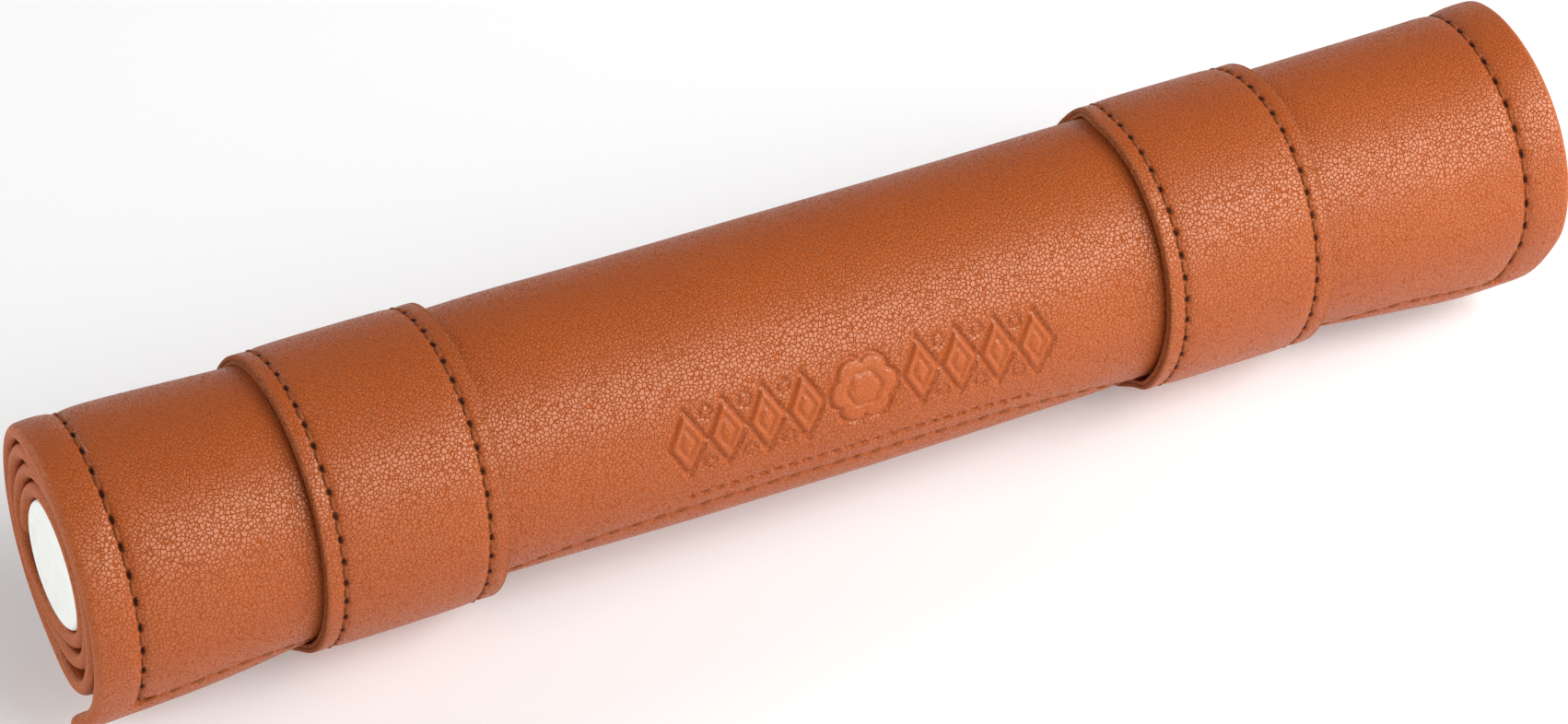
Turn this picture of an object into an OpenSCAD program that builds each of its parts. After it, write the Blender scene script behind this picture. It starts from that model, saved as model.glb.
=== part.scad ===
/* [Roll] */
// Length of the rolled sheet along its axis
roll_length = 300; // [240:10:360]
// Height of the roll's axis above the surface it rests on
axis_height = 30.5; // [30.2:0.1:31.5]
// Diameter of the core that the sheet is wound round
core_d = 24.2; // [20:0.2:24.2]
// How far each end of the core stops short of the sheet's end
core_recess = 3; // [1:0.5:10]

/* [Sheet] */
// Thickness of the outer cover
cover_t = 0.9; // [0.8:0.1:1]
// Thickness of the padding between cover and lining
padding_t = 1.2; // [0.8:0.1:1.3]
// Thickness of the lining
lining_t = 0.7; // [0.4:0.1:0.7]
// Number of turns wound on the core
turns = 3.5; // [2.5:0.5:3.5]
// Free space between turns at the back, where they lie tight
tight_gap = 0.3; // [0.3:0.05:0.4]
// Free space between turns at the front, where they lie loose
loose_gap = 0.87; // [0.6:0.01:0.9]
// Angle of winding over which a turn climbs onto the sheet's inner edge
climb_angle = 80; // [60:10:120]
// Free space between the core and the first turn
core_gap = 0.3; // [0.25:0.05:0.3]
// Angle between the free edge and the place where a band leaves the roll, further round
edge_lead = 10; // [0:10:20]
// Width of the cover that is turned in over the lining at each end
hem_width = 12; // [10:1:20]

/* [Bands] */
// Width of each retaining band
band_width = 35; // [24:1:45]
// Distance from the middle of the roll to the middle of the left band
left_band_offset = 89; // [40:0.5:95]
// Distance from the middle of the roll to the middle of the right band
right_band_offset = 80.5; // [40:0.5:95]
// Free space between the bands and the roll
band_gap = 0.3; // [0.3:0.05:0.5]
// Thickness of the face ply of a band
band_face_t = 0.9; // [0.7:0.1:0.9]
// Thickness of the backing ply of a band
band_backing_t = 0.8; // [0.5:0.1:0.8]
// Angle from straight down at which a band leaves the roll towards its flat foot
foot_angle = 33.5; // [33:0.5:35]

/* [Stitching] */
// Distance from a sheet edge to its stitch row
sheet_seam_inset = 9; // [7:0.5:9]
// Distance from a band edge to its stitch row
band_seam_inset = 3.5; // [2:0.5:6]
// Width of the groove that a stitch row lies in
seam_w = 0.8; // [0.5:0.1:1]
// Depth of the groove that a stitch row lies in
seam_depth = 0.4; // [0.3:0.1:0.5]
// How far the thread lies below the surface around it
thread_sink = 0.1; // [0.05:0.05:0.15]

/* [Hidden] */
BAND_PLIES = ["face", "backing", "outer_seam", "inner_seam"];

leather_colour = [0.72, 0.34, 0.16];
backing_colour = [0.62, 0.27, 0.12];
lining_colour = [0.45, 0.22, 0.12];
thread_colour = [0.42, 0.20, 0.11];
foam_colour = [0.93, 0.95, 0.92];

LEFT = -1;
RIGHT = 1;
sheet_t = cover_t + padding_t + lining_t;
first_r = core_d / 2 + core_gap;
half_length = roll_length / 2;
winding = 360 * turns;
winding_step = 10;
// Direction from the axis in which a band leaves the roll in front, and in which the free edge lies
tangent_angle = 270 - foot_angle;
edge_direction = tangent_angle - edge_lead;
// Middle of the loose side, and the cosines from it at which the turns start to and no longer tighten
loose_direction = 155;
loose_cosine = 0.1;
tight_cosine = -0.8;
// Winding angles at which a band leaves the roll in front and at the back
band_front_angle = winding + edge_lead;
band_back_angle = band_front_angle - 270;
band_t = band_backing_t + band_face_t;
// Distance from the axis down to the inside of a band's foot
foot_drop = axis_height - band_t;
// Winding angle taken up by the hem and by the seam inset at the sheet's inner edge
inner_hem_angle = ceil(hem_width / first_r * 180 / PI / winding_step) * winding_step;
inner_seam_angle = ceil(sheet_seam_inset / first_r * 180 / PI / winding_step) * winding_step;
// Radius of the free edge, and the winding angles there of one millimetre and of its seam
edge_r = first_r + floor(turns) * (sheet_t + loose_gap) + sheet_t;
edge_turn = 180 / PI / edge_r;
edge_seam_angle = winding - sheet_seam_inset * edge_turn;
padding_end_angle = winding - cover_t * edge_turn;
// A cutter reaches this far past the surface that it opens
cut = 0.2;

// Rises smoothly from 0 to 1 as t does
function smooth(t) = let (u = min(max(t, 0), 1)) u * u * (3 - 2 * u);

// Direction from the axis after a degrees of winding
function wound_direction(a) = edge_direction - winding + a;

// Number of layers under the sheet after a degrees of winding
function layers_below(a) = floor(a / 360) + smooth((a % 360 - 360 + climb_angle) / climb_angle);

// Free space under each turn in one direction from the axis
function turn_gap(direction) =
    tight_gap + (loose_gap - tight_gap)
        * smooth((cos(direction - loose_direction) - tight_cosine) / (loose_cosine - tight_cosine));

// Distance from the axis after a degrees of winding, depth above the lining's face
function wound_radius(a, depth) = first_r + layers_below(a) * (sheet_t + turn_gap(wound_direction(a))) + depth;

// Point of the wound sheet after a degrees of winding, depth above the lining's face
function wound_point(a, depth) = wound_radius(a, depth) * [cos(wound_direction(a)), sin(wound_direction(a))];

// Outline inside or outside a band, depth outside its bore: it hugs the roll down to a flat foot
function band_outline(depth) =
    let (drop = foot_drop + depth,
         front_r = wound_radius(band_front_angle, sheet_t + band_gap + depth),
         back_r = wound_radius(band_back_angle, sheet_t + band_gap + depth),
         back_angle = wound_direction(band_back_angle) + 360)
    concat(
        [[(drop * cos(foot_angle) - front_r) / sin(foot_angle), -drop]],
        [[(back_r + drop * sin(back_angle)) / cos(back_angle), -drop]],
        wound_line(sheet_t + band_gap + depth, band_back_angle, band_front_angle));

// The roll's axis lies where the bands, the widest pieces, are centred on the origin
band_reach = [for (p = band_outline(band_t)) p[0]];
axis_y = -(min(band_reach) + max(band_reach)) / 2;

// Places a section drawn in the plane across the roll, from one distance along the roll to another
module along_roll(from, to) {
    translate([from, axis_y, axis_height]) rotate([90, 0, 90]) linear_extrude(to - from) children();
}

// Points along one face of the wound sheet: every face has them at the same angles, and one more at its end
function wound_line(depth, first, last) =
    concat([for (a = [first : winding_step : last - winding_step / 2]) wound_point(a, depth)],
           [wound_point(last, depth)]);

function backwards(points) = [for (i = [len(points) - 1 : -1 : 0]) points[i]];

// Section of a layer of the sheet between two depths
module wound_section(low, high, first, last) {
    polygon(concat(wound_line(high, first, last), backwards(wound_line(low, first, last))));
}

// One closed layer of a band between two depths outside its bore, from one distance along the roll to another
module band_layer(from, to, low, high) {
    difference() {
        along_roll(from, to) polygon(band_outline(high));
        along_roll(from - cut, to + cut) polygon(band_outline(low));
    }
}

// The strip of an end seam between two depths, all along the wound edge and round to the free edge
module end_seam(side, low, high) {
    centre = side * (half_length - sheet_seam_inset);
    along_roll(centre - seam_w / 2, centre + seam_w / 2)
        wound_section(low, high, inner_seam_angle, edge_seam_angle + edge_turn * seam_w / 2);
}

// The strip of the seam along the free edge between two depths, just short of the end seams
module free_edge_seam(low, high) {
    reach = half_length - sheet_seam_inset - seam_w;
    half_turn = edge_turn * seam_w / 2;
    along_roll(-reach, reach)
        polygon([for (p = [[-1, low], [1, low], [1, high], [-1, high]])
                 wound_point(edge_seam_angle + p[0] * half_turn, p[1])]);
}

// The strip of the seam along the inner edge beside the core, just short of the end seams
module inner_edge_seam(low, high) {
    reach = half_length - sheet_seam_inset - seam_w;
    seam_turn = seam_w / first_r * 180 / PI;
    along_roll(-reach, reach)
        polygon([for (p = [[0, low], [1, low], [1, high], [0, high]])
                 wound_point(inner_seam_angle + p[0] * seam_turn, p[1])]);
}

// Cover of the sheet: outer ply, wrapped round all four edges and turned in over the lining
module outer_cover() {
    groove = sheet_t - seam_depth;
    color(leather_colour) difference() {
        along_roll(-half_length, half_length) wound_section(0, sheet_t, 0, winding);
        along_roll(-half_length + cover_t, half_length - cover_t)
            wound_section(lining_t, lining_t + padding_t, winding_step, padding_end_angle);
        along_roll(-half_length + hem_width, half_length - hem_width)
            wound_section(-cut, lining_t, inner_hem_angle, winding - winding_step);
        end_seam(LEFT, groove, sheet_t + cut);
        end_seam(RIGHT, groove, sheet_t + cut);
        free_edge_seam(groove, sheet_t + cut);
        inner_edge_seam(groove, sheet_t + cut);
    }
}

// Padding between the cover and the lining
module padding() {
    color(foam_colour) along_roll(-half_length + cover_t, half_length - cover_t)
        wound_section(lining_t, lining_t + padding_t, winding_step, padding_end_angle);
}

// Lining on the inside face of the sheet, up to the hems
module lining() {
    color(lining_colour) along_roll(-half_length + hem_width, half_length - hem_width)
        wound_section(0, lining_t, inner_hem_angle, winding - winding_step);
}

// Round foam core that the sheet is wound on
module foam_core() {
    length = roll_length - 2 * core_recess;
    color(foam_colour) translate([-length / 2, axis_y, axis_height]) rotate([0, 90, 0])
        cylinder(h = length, d = core_d, $fn = 96);
}

// Thread of a seam lies in its groove, a little below the surface
module left_end_stitching() {
    color(thread_colour) end_seam(LEFT, sheet_t - seam_depth, sheet_t - thread_sink);
}

module right_end_stitching() {
    color(thread_colour) end_seam(RIGHT, sheet_t - seam_depth, sheet_t - thread_sink);
}

module free_edge_stitching() {
    color(thread_colour) free_edge_seam(sheet_t - seam_depth, sheet_t - thread_sink);
}

module inner_edge_stitching() {
    color(thread_colour) inner_edge_seam(sheet_t - seam_depth, sheet_t - thread_sink);
}

// Where the middle of a band lies along the roll
function band_centre(side) = side == LEFT ? -left_band_offset : right_band_offset;

// Where a band's seam runs: row 1 is nearer the roll's end, row -1 nearer its middle
function band_seam_centre(side, row) = band_centre(side) + side * row * (band_width / 2 - band_seam_inset);

// Face ply of a band with a groove for each seam
module band_face(side) {
    centre = band_centre(side);
    color(leather_colour) difference() {
        band_layer(centre - band_width / 2, centre + band_width / 2, band_backing_t, band_t);
        for (row = [-1, 1])
            band_layer(band_seam_centre(side, row) - seam_w / 2, band_seam_centre(side, row) + seam_w / 2,
                       band_t - seam_depth, band_t + cut);
    }
}

// Backing ply of a band, against the roll
module band_backing(side) {
    centre = band_centre(side);
    color(backing_colour)
        band_layer(centre - band_width / 2, centre + band_width / 2, 0, band_backing_t);
}

// Thread of one seam of a band
module band_seam(side, row) {
    color(thread_colour)
        band_layer(band_seam_centre(side, row) - seam_w / 2, band_seam_centre(side, row) + seam_w / 2,
                   band_t - seam_depth, band_t - thread_sink);
}

outer_cover();
padding();
lining();
foam_core();
left_end_stitching();
right_end_stitching();
free_edge_stitching();
inner_edge_stitching();
band_face(LEFT);  // left_band_face
band_backing(LEFT);  // left_band_backing
band_seam(LEFT, 1);  // left_band_outer_seam
band_seam(LEFT, -1);  // left_band_inner_seam
band_face(RIGHT);  // right_band_face
band_backing(RIGHT);  // right_band_backing
band_seam(RIGHT, 1);  // right_band_outer_seam
band_seam(RIGHT, -1);  // right_band_inner_seam
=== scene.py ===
"""Looks of a rolled, padded leather case with two sliding bands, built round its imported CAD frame."""
import math
from collections import namedtuple

import bmesh
import bpy
import numpy as np
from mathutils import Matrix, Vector


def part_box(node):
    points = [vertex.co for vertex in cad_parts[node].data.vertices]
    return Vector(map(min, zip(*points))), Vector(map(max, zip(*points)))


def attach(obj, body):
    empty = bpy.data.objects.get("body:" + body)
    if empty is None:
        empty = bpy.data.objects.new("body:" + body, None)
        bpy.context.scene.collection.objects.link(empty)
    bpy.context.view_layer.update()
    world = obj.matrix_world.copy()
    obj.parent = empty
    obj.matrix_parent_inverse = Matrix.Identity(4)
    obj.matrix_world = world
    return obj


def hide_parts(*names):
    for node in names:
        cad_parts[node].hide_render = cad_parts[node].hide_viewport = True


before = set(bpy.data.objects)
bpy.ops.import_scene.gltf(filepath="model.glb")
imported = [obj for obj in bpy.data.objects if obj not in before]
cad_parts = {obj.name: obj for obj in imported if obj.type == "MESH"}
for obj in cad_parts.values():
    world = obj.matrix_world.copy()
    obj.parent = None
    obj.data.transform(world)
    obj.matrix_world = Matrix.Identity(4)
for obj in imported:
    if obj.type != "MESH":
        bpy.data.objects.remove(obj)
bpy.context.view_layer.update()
MM = 0.001
DEGREE = math.pi / 180

# The roll's axis, from the core that lies on it
CORE_LOW, CORE_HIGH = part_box("foam_core")
AXIS = Vector((0.0, (CORE_LOW[1] + CORE_HIGH[1]) / 2, (CORE_LOW[2] + CORE_HIGH[2]) / 2))
AXIS_HEIGHT = AXIS[2] / MM

# ---------------------------------------------------------------- sizes, in mm and degrees

# The wound sheet, as in the CAD model, except that it is wound 60 degrees further and its corners are round
ROLL_LENGTH = 300.0
HALF = ROLL_LENGTH / 2
SHEET_T = 2.8
LINING_T = 0.7
FIRST_R = 12.4
TIGHT_GAP, LOOSE_GAP = 0.3, 0.87
LOOSE_DIRECTION, LOOSE_COS, TIGHT_COS = 155.0, 0.1, -0.8
CLIMB_ANGLE = 80.0
WINDING = 1320.0
EDGE_DIRECTION = 226.5
EDGE_R = FIRST_R + 3 * (SHEET_T + LOOSE_GAP) + SHEET_T
INNER_R = FIRST_R + SHEET_T / 2
HEM, HEM_GAP = 12.0, 0.5
LINING_CLEARANCE = 0.02
SEAM_INSET = 9.0
CORNER_R = 3.2

# Degrees of winding in a millimetre of the sheet, at its free edge and at its inner one
FREE_PER_MM = 1 / (EDGE_R * DEGREE)
INNER_PER_MM = 1 / (INNER_R * DEGREE)

# Direction in which the roll sags, low at the front, and the middle of the side that isn't lain on
SAG_DIRECTION = 228.0
OPEN_DIRECTION = 140.0

# Along the roll: place, swelling of the outer turn, sag, and the free edge's extra lift and turn
ROLL_SHAPE = (
    (-150, 0.80, 0.80, 1.4, 14.0), (-140, 0.95, 0.80, 0.7, 8.7), (-130, 0.85, 0.90, 0.4, 4.8),
    (-120, 0.20, 0.80, 0.2, 0.0), (-108, -0.75, 0.40, 0.0, 0.0), (-90, -1.00, 0.20, 0.0, 0.0),
    (-70, -1.15, -0.10, 0.0, 0.0), (-60, -1.00, -0.15, 0.0, 0.0), (-48, -0.88, 0.25, 0.0, 0.0),
    (-30, -0.72, 0.62, 0.0, 0.0), (0, -0.72, 0.85, 0.0, 0.0), (30, -0.78, 0.86, 0.0, 0.0),
    (55, -1.00, 0.72, 0.0, 0.0), (80, -1.15, 0.80, 0.0, 0.0), (98, -0.95, 1.10, 0.0, 0.0),
    (110, -0.45, 1.50, 0.4, 3.0), (122, -0.10, 1.80, 0.9, 7.3), (134, 0.25, 2.00, 1.3, 12.2),
    (150, 0.50, 1.70, 1.2, 15.8),
)
SWELL, SAG, LIFT, TURN = range(4)
SHAPE_STEP = 0.5
BLUR_STEPS = 24

# The free edge lies a little short of EDGE_DIRECTION, and its turn fades out inward along the sheet
EDGE_SETBACK = 1.5
TURN_REACH = 320.0

# How far the sheet has slipped to the right: its inner turns, its back, and more of that on the right half
INNER_SLIP, BACK_SLIP, RIGHT_SLIP = 1.9, 3.2, 0.7
BACK_SLIP_PER_TURN = -0.3
SLIP_DIRECTION = -27.0
# How far the free edge's corners are drawn to the left
LEFT_CORNER_SLIP, RIGHT_CORNER_SLIP = 2.3, 4.5
# Where these set in: start and width, in degrees under the free edge or in mm from the roll's middle; the
# corners' slips fade out over their angles under the free edge
INNER_SLIP_RANGE, BACK_SLIP_RANGE = (110, 900), (60, 120)
RIGHT_HALF, ROLL_ENDS = (-20, 40), (140, 10)
LEFT_CORNER_RANGE, RIGHT_CORNER_RANGE = (136, 14), (118, 32)
LEFT_CORNER_ANGLE, RIGHT_CORNER_ANGLE = 30, 45

# The bands, and how fast their pull on the free edge fades beside them
BAND_WIDTH = 35.0
BAND_HALF = BAND_WIDTH / 2
BAND_GAP, BACKING_T, FACE_T = 0.3, 0.8, 0.9
BAND_T = BACKING_T + FACE_T
BAND_SEAM = BAND_HALF - 3.5
BAND_FRONT_DIRECTION = 270 - 33.5
HUG_ANGLE = 270.0
FOOT_CLEARANCE = 0.02
FOOT_SEAM_HEIGHT = 2.2
PLY_CLEARANCE = 0.01
BAND_COUNT = 340
PULL_REACH = 14.0

# Each band's place, swelling and sag against the plain roll, its pull on the free edge in degrees, its skew,
# how far its left edge tilts inward and its right edge outward, and how far its left edge is drawn in round
# the back and the underside
Band = namedtuple("Band", "centre swell sag pull skew tilt_left tilt_right pinch")
BANDS = {
    "left": Band(centre=-89.0, swell=-0.62, sag=0.66, pull=20.0, skew=0.25,
                 tilt_left=0.0, tilt_right=0.0, pinch=0.0),
    "right": Band(centre=80.5, swell=-0.75, sag=1.05, pull=30.0, skew=0.5,
                  tilt_left=0.06, tilt_right=0.3, pinch=2.4),
}

# The pressed ornament: a rosette between two rows of lozenges, with dots between them and dashes below
ORNAMENT_X = 0.0
ORNAMENT_DIRECTION = 169.0
ORNAMENT_REACH = (45.0, 14.0)
ROSETTE_R = 6.9
PETALS = 6
LOZENGES = 4
LOZENGE_START, LOZENGE_STEP = 3.8, 7.9
LOZENGE_HALF, LOZENGE_EYE_HALF = (3.6, 6.6), (1.7, 3.1)
DOT_R, DOT_RISE = 1.1, 5.2
DASH_DIRECTION = 197.0
DASH_PITCH, DASH_REACH = 2.9, 34.8
DASH_HALF = (0.80, 0.42)
MOTIF_GROOVE, EYE_GROOVE, DOT_GROOVE, DASH_DEPTH = 0.80, 0.50, 0.42, 0.62
PLATEAU = 0.12
TOOLED_STEP = 0.42

# The margins' puff, how deep the long edges' seams are against the ends' ones, and how dark the painted
# shade in their needle holes and the dashes is
MARGIN_PUFF = 0.22
LONG_SEAM_SHARE = 0.45
LONG_HOLE_SHADE, DASH_SHADE = 0.2, 0.34

# Stitching: the thread, its start and length as shares of the pitch, how deep its ends dive and how high it
# arches from there, and how deep below the plain face the seams' needle holes are joined
THREAD_R = 0.36
THREAD_SIDES = 8
THREAD_RINGS = 9
THREAD_START, THREAD_RUN = 0.17, 0.66
THREAD_DIVE, THREAD_ARCH = 0.75, 0.98
END_VALLEY, LONG_VALLEY, BAND_VALLEY = 0.62, 0.40, 0.40

# How a seam sinks into the leather: depths, and how far each reaches
Seam = namedtuple("Seam", "pitch dip dip_reach groove groove_reach hole hole_length hole_width")
COVER_STITCHING = Seam(pitch=4.5, dip=0.32, dip_reach=2.2, groove=0.30, groove_reach=0.75,
                       hole=0.45, hole_length=0.95, hole_width=0.46)


def smooth(t):
    """0 below 0, 1 above 1, and an S-curve between."""
    u = np.clip(t, 0.0, 1.0)
    return u * u * (3 - 2 * u)


def rise(value, start, width):
    """0 up to start, 1 from start + width on, and smooth between."""
    return smooth((value - start) / width)


def bell(t):
    """1 at 0, falling off to both sides."""
    return np.exp(-t * t)


def cos_deg(a):
    return np.cos(np.radians(a))


def sin_deg(a):
    return np.sin(np.radians(a))


def beat_offset(along, pitch):
    """Distance past the nearest of the marks that lie a pitch apart, negative before it."""
    return ((along / pitch + 0.5) % 1 - 0.5) * pitch


# ---------------------------------------------------------------- the winding

def direction(a):
    """Direction from the axis after a degrees of winding; 180 is the front, 90 the top."""
    return EDGE_DIRECTION - WINDING + a


def turn_gap(way):
    """Air between two turns, wider on the side that isn't pulled tight."""
    loose = rise(cos_deg(way - LOOSE_DIRECTION), TIGHT_COS, LOOSE_COS - TIGHT_COS)
    return TIGHT_GAP + (LOOSE_GAP - TIGHT_GAP) * loose


def layers_below(a):
    """Number of turns under the sheet, climbing smoothly where it comes round onto its own edge."""
    return np.floor(a / 360) + rise(a % 360, 360 - CLIMB_ANGLE, CLIMB_ANGLE)


def wound_radius(a, depth):
    """Distance from the axis of the plain winding, depth above the lining's face."""
    return FIRST_R + layers_below(a) * (SHEET_T + turn_gap(direction(a))) + depth


def shape_curves():
    """ROLL_SHAPE as smooth curves, sampled every SHAPE_STEP to a little past both ends."""
    reach = HALF + 15
    xs = np.arange(-reach, reach + SHAPE_STEP, SHAPE_STEP)
    table = np.array(ROLL_SHAPE, float)
    kernel = bell(np.arange(-BLUR_STEPS, BLUR_STEPS + 1) * 2 / BLUR_STEPS)
    kernel /= kernel.sum()
    curves = []
    for column in table.T[1:]:
        line = np.interp(xs, table[:, 0], column)
        curves.append(np.convolve(np.pad(line, BLUR_STEPS, "edge"), kernel, "valid"))
    return xs, curves


SHAPE_X, SHAPE_CURVES = shape_curves()


def shape_at(x, column):
    """One of ROLL_SHAPE's smooth curves at places along the roll."""
    return np.interp(x, SHAPE_X, SHAPE_CURVES[column])


def open_side(way):
    """1 on the front and top, falling to 0 where the roll is lain on and wound tight."""
    return rise(cos_deg(way - OPEN_DIRECTION), -0.9, 0.9)


def swelling(a, x):
    """How far the sheet stands off the plain winding."""
    way = direction(a)
    off = (shape_at(x, SWELL) + shape_at(x, SAG) * cos_deg(way - SAG_DIRECTION)) * open_side(way)
    outer_turn = rise(a, WINDING - 400, 90)
    every_turn = layers_below(a) / 3
    off = off * np.where(off > 0, outer_turn, every_turn)
    lift = shape_at(x, LIFT) * rise(a, WINDING - 24, 24)
    waves = 0.05 * np.sin(x / 17.0 + a / 41.0) + 0.04 * np.sin(x / 9.5 - a / 23.0 + 1.3)
    return off + lift + waves * outer_turn


def edge_turned(a, x):
    """The winding angle, with the free edge further round near the ends and where a band pulls it."""
    turn = shape_at(x, TURN) - EDGE_SETBACK
    for band in BANDS.values():
        beside = np.maximum(np.abs(x - band.centre) - BAND_HALF, 0)
        turn = turn + band.pull * np.exp(-beside / PULL_REACH)
    return a + turn * rise(a, WINDING - TURN_REACH, TURN_REACH)


def end_slip(a, x):
    """How far the sheet lies along the roll from its even place: inner turns and the back have slipped."""
    under = WINDING - a
    right = rise(x, *RIGHT_HALF)
    inner = INNER_SLIP * rise(under, *INNER_SLIP_RANGE)
    back = BACK_SLIP + RIGHT_SLIP * right + BACK_SLIP_PER_TURN * under / 360
    facing_back = (1 + cos_deg(direction(a) - SLIP_DIRECTION)) / 2
    at_back = facing_back ** 1.3 * rise(under, *BACK_SLIP_RANGE)
    wander = 0.15 * np.sin(a / 33.0)
    spread = (0.3 + 0.4 * right) * rise(np.abs(x), *ROLL_ENDS)
    near_left = rise(-x, *LEFT_CORNER_RANGE) * (1 - rise(under, 0, LEFT_CORNER_ANGLE))
    near_right = rise(x, *RIGHT_CORNER_RANGE) * (1 - rise(under, 0, RIGHT_CORNER_ANGLE))
    corners = LEFT_CORNER_SLIP * near_left + RIGHT_CORNER_SLIP * near_right
    return inner + (back - inner) * at_back + wander + spread - corners


def sheet_place(a, x, depth):
    """Points of the wound sheet, depth above the lining's face, about the roll's axis."""
    turned = edge_turned(a, x)
    radius = wound_radius(turned, depth) + swelling(turned, x)
    way = direction(turned)
    return np.stack([x + end_slip(a, x), radius * cos_deg(way), radius * sin_deg(way)], -1)


def winding_lengths():
    """Winding angles, and the length of sheet wound up to each, near enough for spacing stitches."""
    angles = np.linspace(0, WINDING, 2521)
    pieces = wound_radius(angles[:-1], SHEET_T / 2) * np.radians(np.diff(angles))
    return angles, np.concatenate([[0], np.cumsum(pieces)])


LENGTH_A, LENGTH_MM = winding_lengths()
SHEET_LENGTH = float(LENGTH_MM[-1])


# ---------------------------------------------------------------- mesh helpers

def steps(start, stop, coarse, zones=()):
    """Coordinates from start to stop, coarse apart, and finer in each zone (from, to, step)."""
    places = [start]
    while places[-1] < stop:
        here = places[-1]
        step = coarse
        for low, high, fine in zones:
            away = max(low - here, here - high, 0.0)
            step = min(step, fine + 0.35 * away)
        places.append(here + step)
    places = np.array(places)
    return start + (places - start) * (stop - start) / (places[-1] - start)


def mirrored(half, from_end, middle):
    """Coordinates from -half to half: distances from each end, with the middle's between them."""
    return np.concatenate([-half + from_end, middle, (half - from_end)[::-1]])


def strip(upper, lower, flip):
    """Faces between two rows of (coordinate, vertex), which may have different numbers of points."""
    faces = []
    if len(upper) == len(lower) and all(abs(p[0] - q[0]) < 1e-6 for p, q in zip(upper, lower)):
        for k in range(len(upper) - 1):
            faces.append((upper[k][1], upper[k + 1][1], lower[k + 1][1], lower[k][1]))
    else:
        i = j = 0
        while i < len(upper) - 1 or j < len(lower) - 1:
            ahead = j == len(lower) - 1 or (i < len(upper) - 1 and upper[i + 1][0] <= lower[j + 1][0])
            if ahead:
                faces.append((upper[i][1], upper[i + 1][1], lower[j][1]))
                i += 1
            else:
                faces.append((upper[i][1], lower[j + 1][1], lower[j][1]))
                j += 1
    cleaned = []
    for face in faces:
        corners = [v for k, v in enumerate(face) if v != face[k - 1]]
        if len(set(corners)) > 2:
            cleaned.append(tuple(reversed(corners)) if flip else tuple(corners))
    return cleaned


def ring_faces(rings, sides, base=0, closed=False):
    """Quads between rings that follow each other, and from the last ring to the first if closed."""
    faces = []
    for i in range(rings if closed else rings - 1):
        low = base + i * sides
        high = base + (i + 1) % rings * sides
        for k in range(sides):
            n = (k + 1) % sides
            faces.append((low + k, low + n, high + n, high + k))
    return faces


def new_piece(name, points, faces, material):
    """A smooth-shaded mesh object from points about the roll's axis."""
    mesh = bpy.data.meshes.new(name)
    metres = np.asarray(points, float) * MM + np.array(AXIS)
    mesh.from_pydata(metres.tolist(), [], [tuple(int(v) for v in f) for f in faces])
    mesh.update()
    mesh.shade_smooth()
    piece = bpy.data.objects.new(name, mesh)
    bpy.context.scene.collection.objects.link(piece)
    mesh.materials.append(material)
    return piece


def face_outward(piece):
    """Turns the faces of a closed mesh outward."""
    work = bmesh.new()
    work.from_mesh(piece.data)
    bmesh.ops.recalc_face_normals(work, faces=work.faces)
    work.to_mesh(piece.data)
    work.free()


def point_value(piece, name, values):
    """A number for each vertex that the piece's material reads."""
    layer = piece.data.attributes.new(name, "FLOAT", "POINT")
    layer.data.foreach_set("value", np.asarray(values, np.float32))


# ---------------------------------------------------------------- the rolled sheet

# Distances from an edge that follow its round rim, and those across its margin, closest at the seam
RIM_LINES = [SHEET_T / 2 * (1 - math.cos(w * DEGREE)) for w in range(0, 91, 15)]
MARGIN_LINES = [1.9, 2.7, 3.8, 5.0, 6.2, 7.2, 7.9, 8.3, 8.55, 8.75, 8.9, 9.1, 9.25, 9.45, 9.7, 10.1, 10.7,
                11.6, 13.0, 15.0]


def edge_distance(a, x):
    """Distances in mm from the nearer end of the roll and from the free and inner edges."""
    return HALF - np.abs(x), (WINDING - a) / FREE_PER_MM, a / INNER_PER_MM


def rim_thickness(distance, full):
    """Thickness of a sheet at a distance from its edge, with a round rim."""
    from_full = 1 - np.clip(distance / (full / 2), 0, 1)
    return full * np.sqrt(np.clip(1 - from_full ** 2, 0, 1))


def seam_relief(seam, from_seam, along, reach=1.0):
    """Height of the leather beside a row of stitches, and how deep in a needle hole it is."""
    valley = seam.dip * bell(from_seam / seam.dip_reach) + seam.groove * bell(from_seam / seam.groove_reach)
    beat = bell(beat_offset(along, seam.pitch) / seam.hole_length)
    holes = beat * bell(from_seam / seam.hole_width) * reach
    return -valley * reach - seam.hole * holes, holes


def lozenge(u, v, half):
    """Distance outside a lozenge's outline, negative inside."""
    half_u, half_v = half
    return (np.abs(u) / half_u + np.abs(v) / half_v - 1) * half_u * half_v / math.hypot(half_u, half_v)


def rosette(u, v, radius):
    """Distance outside a rosette's outline, negative inside."""
    turn = np.arctan2(v, u)
    return np.hypot(u, v) - radius * (0.78 + 0.22 * np.sqrt(np.abs(np.cos(PETALS * turn / 2))))


def pressed(outside, groove):
    """A motif pressed round its outline, its face standing a little proud."""
    return PLATEAU * rise(-outside, 0, 0.7) - groove * bell((outside - 0.1) / 0.38)


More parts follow.
